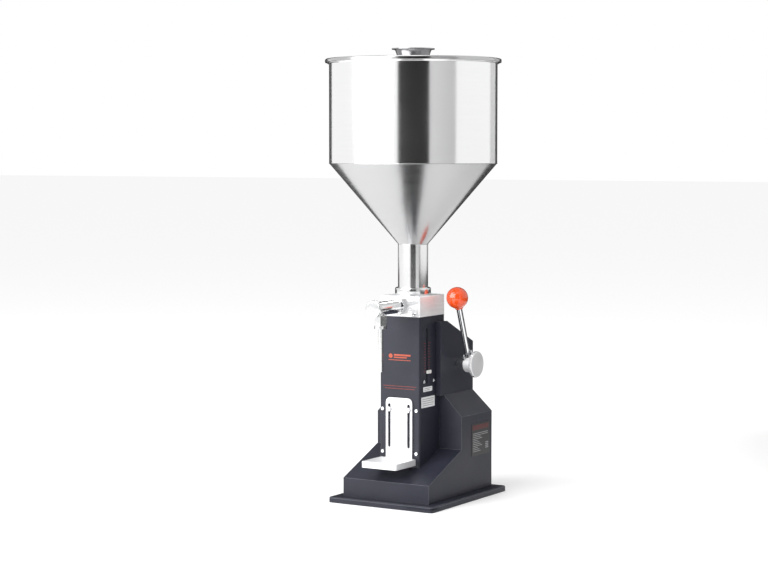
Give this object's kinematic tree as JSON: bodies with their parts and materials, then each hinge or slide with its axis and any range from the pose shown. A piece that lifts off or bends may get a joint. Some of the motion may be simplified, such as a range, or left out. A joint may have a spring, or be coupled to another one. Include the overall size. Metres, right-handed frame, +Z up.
{
  "type": "piston liquid filler",
  "caption": "Hand-operated piston filler with a round hopper, valve block, front nozzle, side lever, volume stop and height-adjustable bottle tray.",
  "frame": {"origin": "underside of the base plate, below the hopper axis", "axes": "+X to the lever side, -Y to the front where the nozzle is, +Z up along the hopper axis"},
  "size_m": [0.2828, 0.2829, 0.727],
  "materials": {
    "painted_body": "dark blue-grey satin paint",
    "bright_steel": "polished stainless steel",
    "hopper_steel": "fine brushed stainless steel",
    "knob_steel": "polished",
    "screw_steel": "bright zinc plate",
    "dark_screw_steel": "black oxide",
    "machined_steel": "machined",
    "aluminium_part": "milled",
    "bronze": "turned bronze",
    "bearing_steel": "turned steel",
    "seal_rubber": "matt",
    "piston_plastic": "natural white",
    "ball_plastic": "glossy orange red",
    "lever_chrome": "polished",
    "pointer_plastic": "light",
    "label_dark": "printed film",
    "label_white": "printed film"
  },
  "bodies": {
    "frame": {"base_plate": "painted_body", "base_screws": "screw_steel", "lower_body": "painted_body", "upper_housing": "painted_body", "rear_cover": "painted_body", "rear_cover_screws": "screw_steel", "column": "painted_body", "column_face_screws": "screw_steel", "guide_plate": "aluminium_part", "guide_bush": "bronze", "guide_plate_screws": "screw_steel", "valve_block": "bright_steel", "block_screws": "screw_steel", "inlet_seat": "bronze", "inlet_spring": "machined_steel", "outlet_body": "bright_steel", "outlet_union_nut": "bright_steel", "outlet_spring": "machined_steel", "outlet_cap": "bright_steel", "nozzle_nut": "bright_steel", "nozzle_tube": "bright_steel", "hopper_union_ring": "bright_steel", "hopper_gasket": "seal_rubber", "hopper_neck": "hopper_steel", "hopper_cone": "hopper_steel", "hopper_wall": "hopper_steel", "cylinder_tube": "machined_steel", "cylinder_screws": "screw_steel", "shaft_bearing_right": "bearing_steel", "shaft_bearing_left": "bronze", "tray_clamp_screws": "screw_steel", "rating_label": "label_dark", "volume_label": "label_white", "notice_label": "label_white"},
    "lever": {"pinion": "machined_steel", "pinion_key": "screw_steel", "lever_shaft": "machined_steel", "shaft_collars": "screw_steel", "lever_hub": "bright_steel", "hub_set_screws": "screw_steel", "lever_end_disc": "bright_steel", "lever_rod": "lever_chrome", "lever_ball": "ball_plastic"},
    "piston_set": {"piston": "piston_plastic", "piston_seals": "seal_rubber", "piston_rod": "machined_steel", "crosshead": "aluminium_part", "stop_rod": "machined_steel", "rack": "machined_steel", "rack_screws": "screw_steel"},
    "volume_stop": {"stop_block": "aluminium_part", "stop_pointer": "pointer_plastic", "stop_screw": "dark_screw_steel"},
    "bottle_tray": {"tray": "bright_steel"},
    "hopper_lid": {"lid": "hopper_steel", "lid_gasket": "seal_rubber", "lid_knob": "knob_steel", "knob_screw": "screw_steel"},
    "inlet_valve": {"inlet_ball": "machined_steel"},
    "outlet_valve": {"outlet_ball": "machined_steel"}
  },
  "joints": [
    {"name": "lever_turn", "type": "hinge", "parent": "frame", "child": "lever", "pos_m": [0, 0.066, 0.217], "axis": [1, 0, 0], "range_deg": [0, 119.3]},
    {"name": "piston_travel", "type": "slide", "parent": "frame", "child": "piston_set", "axis": [0, 0, -1], "range_m": [0, 0.05]},
    {"name": "stop_travel", "type": "slide", "parent": "frame", "child": "volume_stop", "axis": [0, 0, -1], "range_m": [-0.045, 0]},
    {"name": "tray_travel", "type": "slide", "parent": "frame", "child": "bottle_tray", "axis": [0, 0, 1], "range_m": [-0.004, 0.058]},
    {"name": "lid_lift", "type": "slide", "parent": "frame", "child": "hopper_lid", "axis": [0, 0, 1], "range_m": [0, 0.12]},
    {"name": "inlet_valve_travel", "type": "slide", "parent": "frame", "child": "inlet_valve", "axis": [0, 0, -1], "range_m": [0, 0.003], "stiffness_N_per_m": 150, "springref_m": -0.006, "deforming": ["inlet_spring"]},
    {"name": "outlet_valve_travel", "type": "slide", "parent": "frame", "child": "outlet_valve", "axis": [0, -1, 0], "range_m": [0, 0.003], "stiffness_N_per_m": 150, "springref_m": -0.006}
  ],
  "couplings": [
    {"joint": "piston_travel", "follows": "lever_turn", "m_per_rad": 0.024}
  ]
}
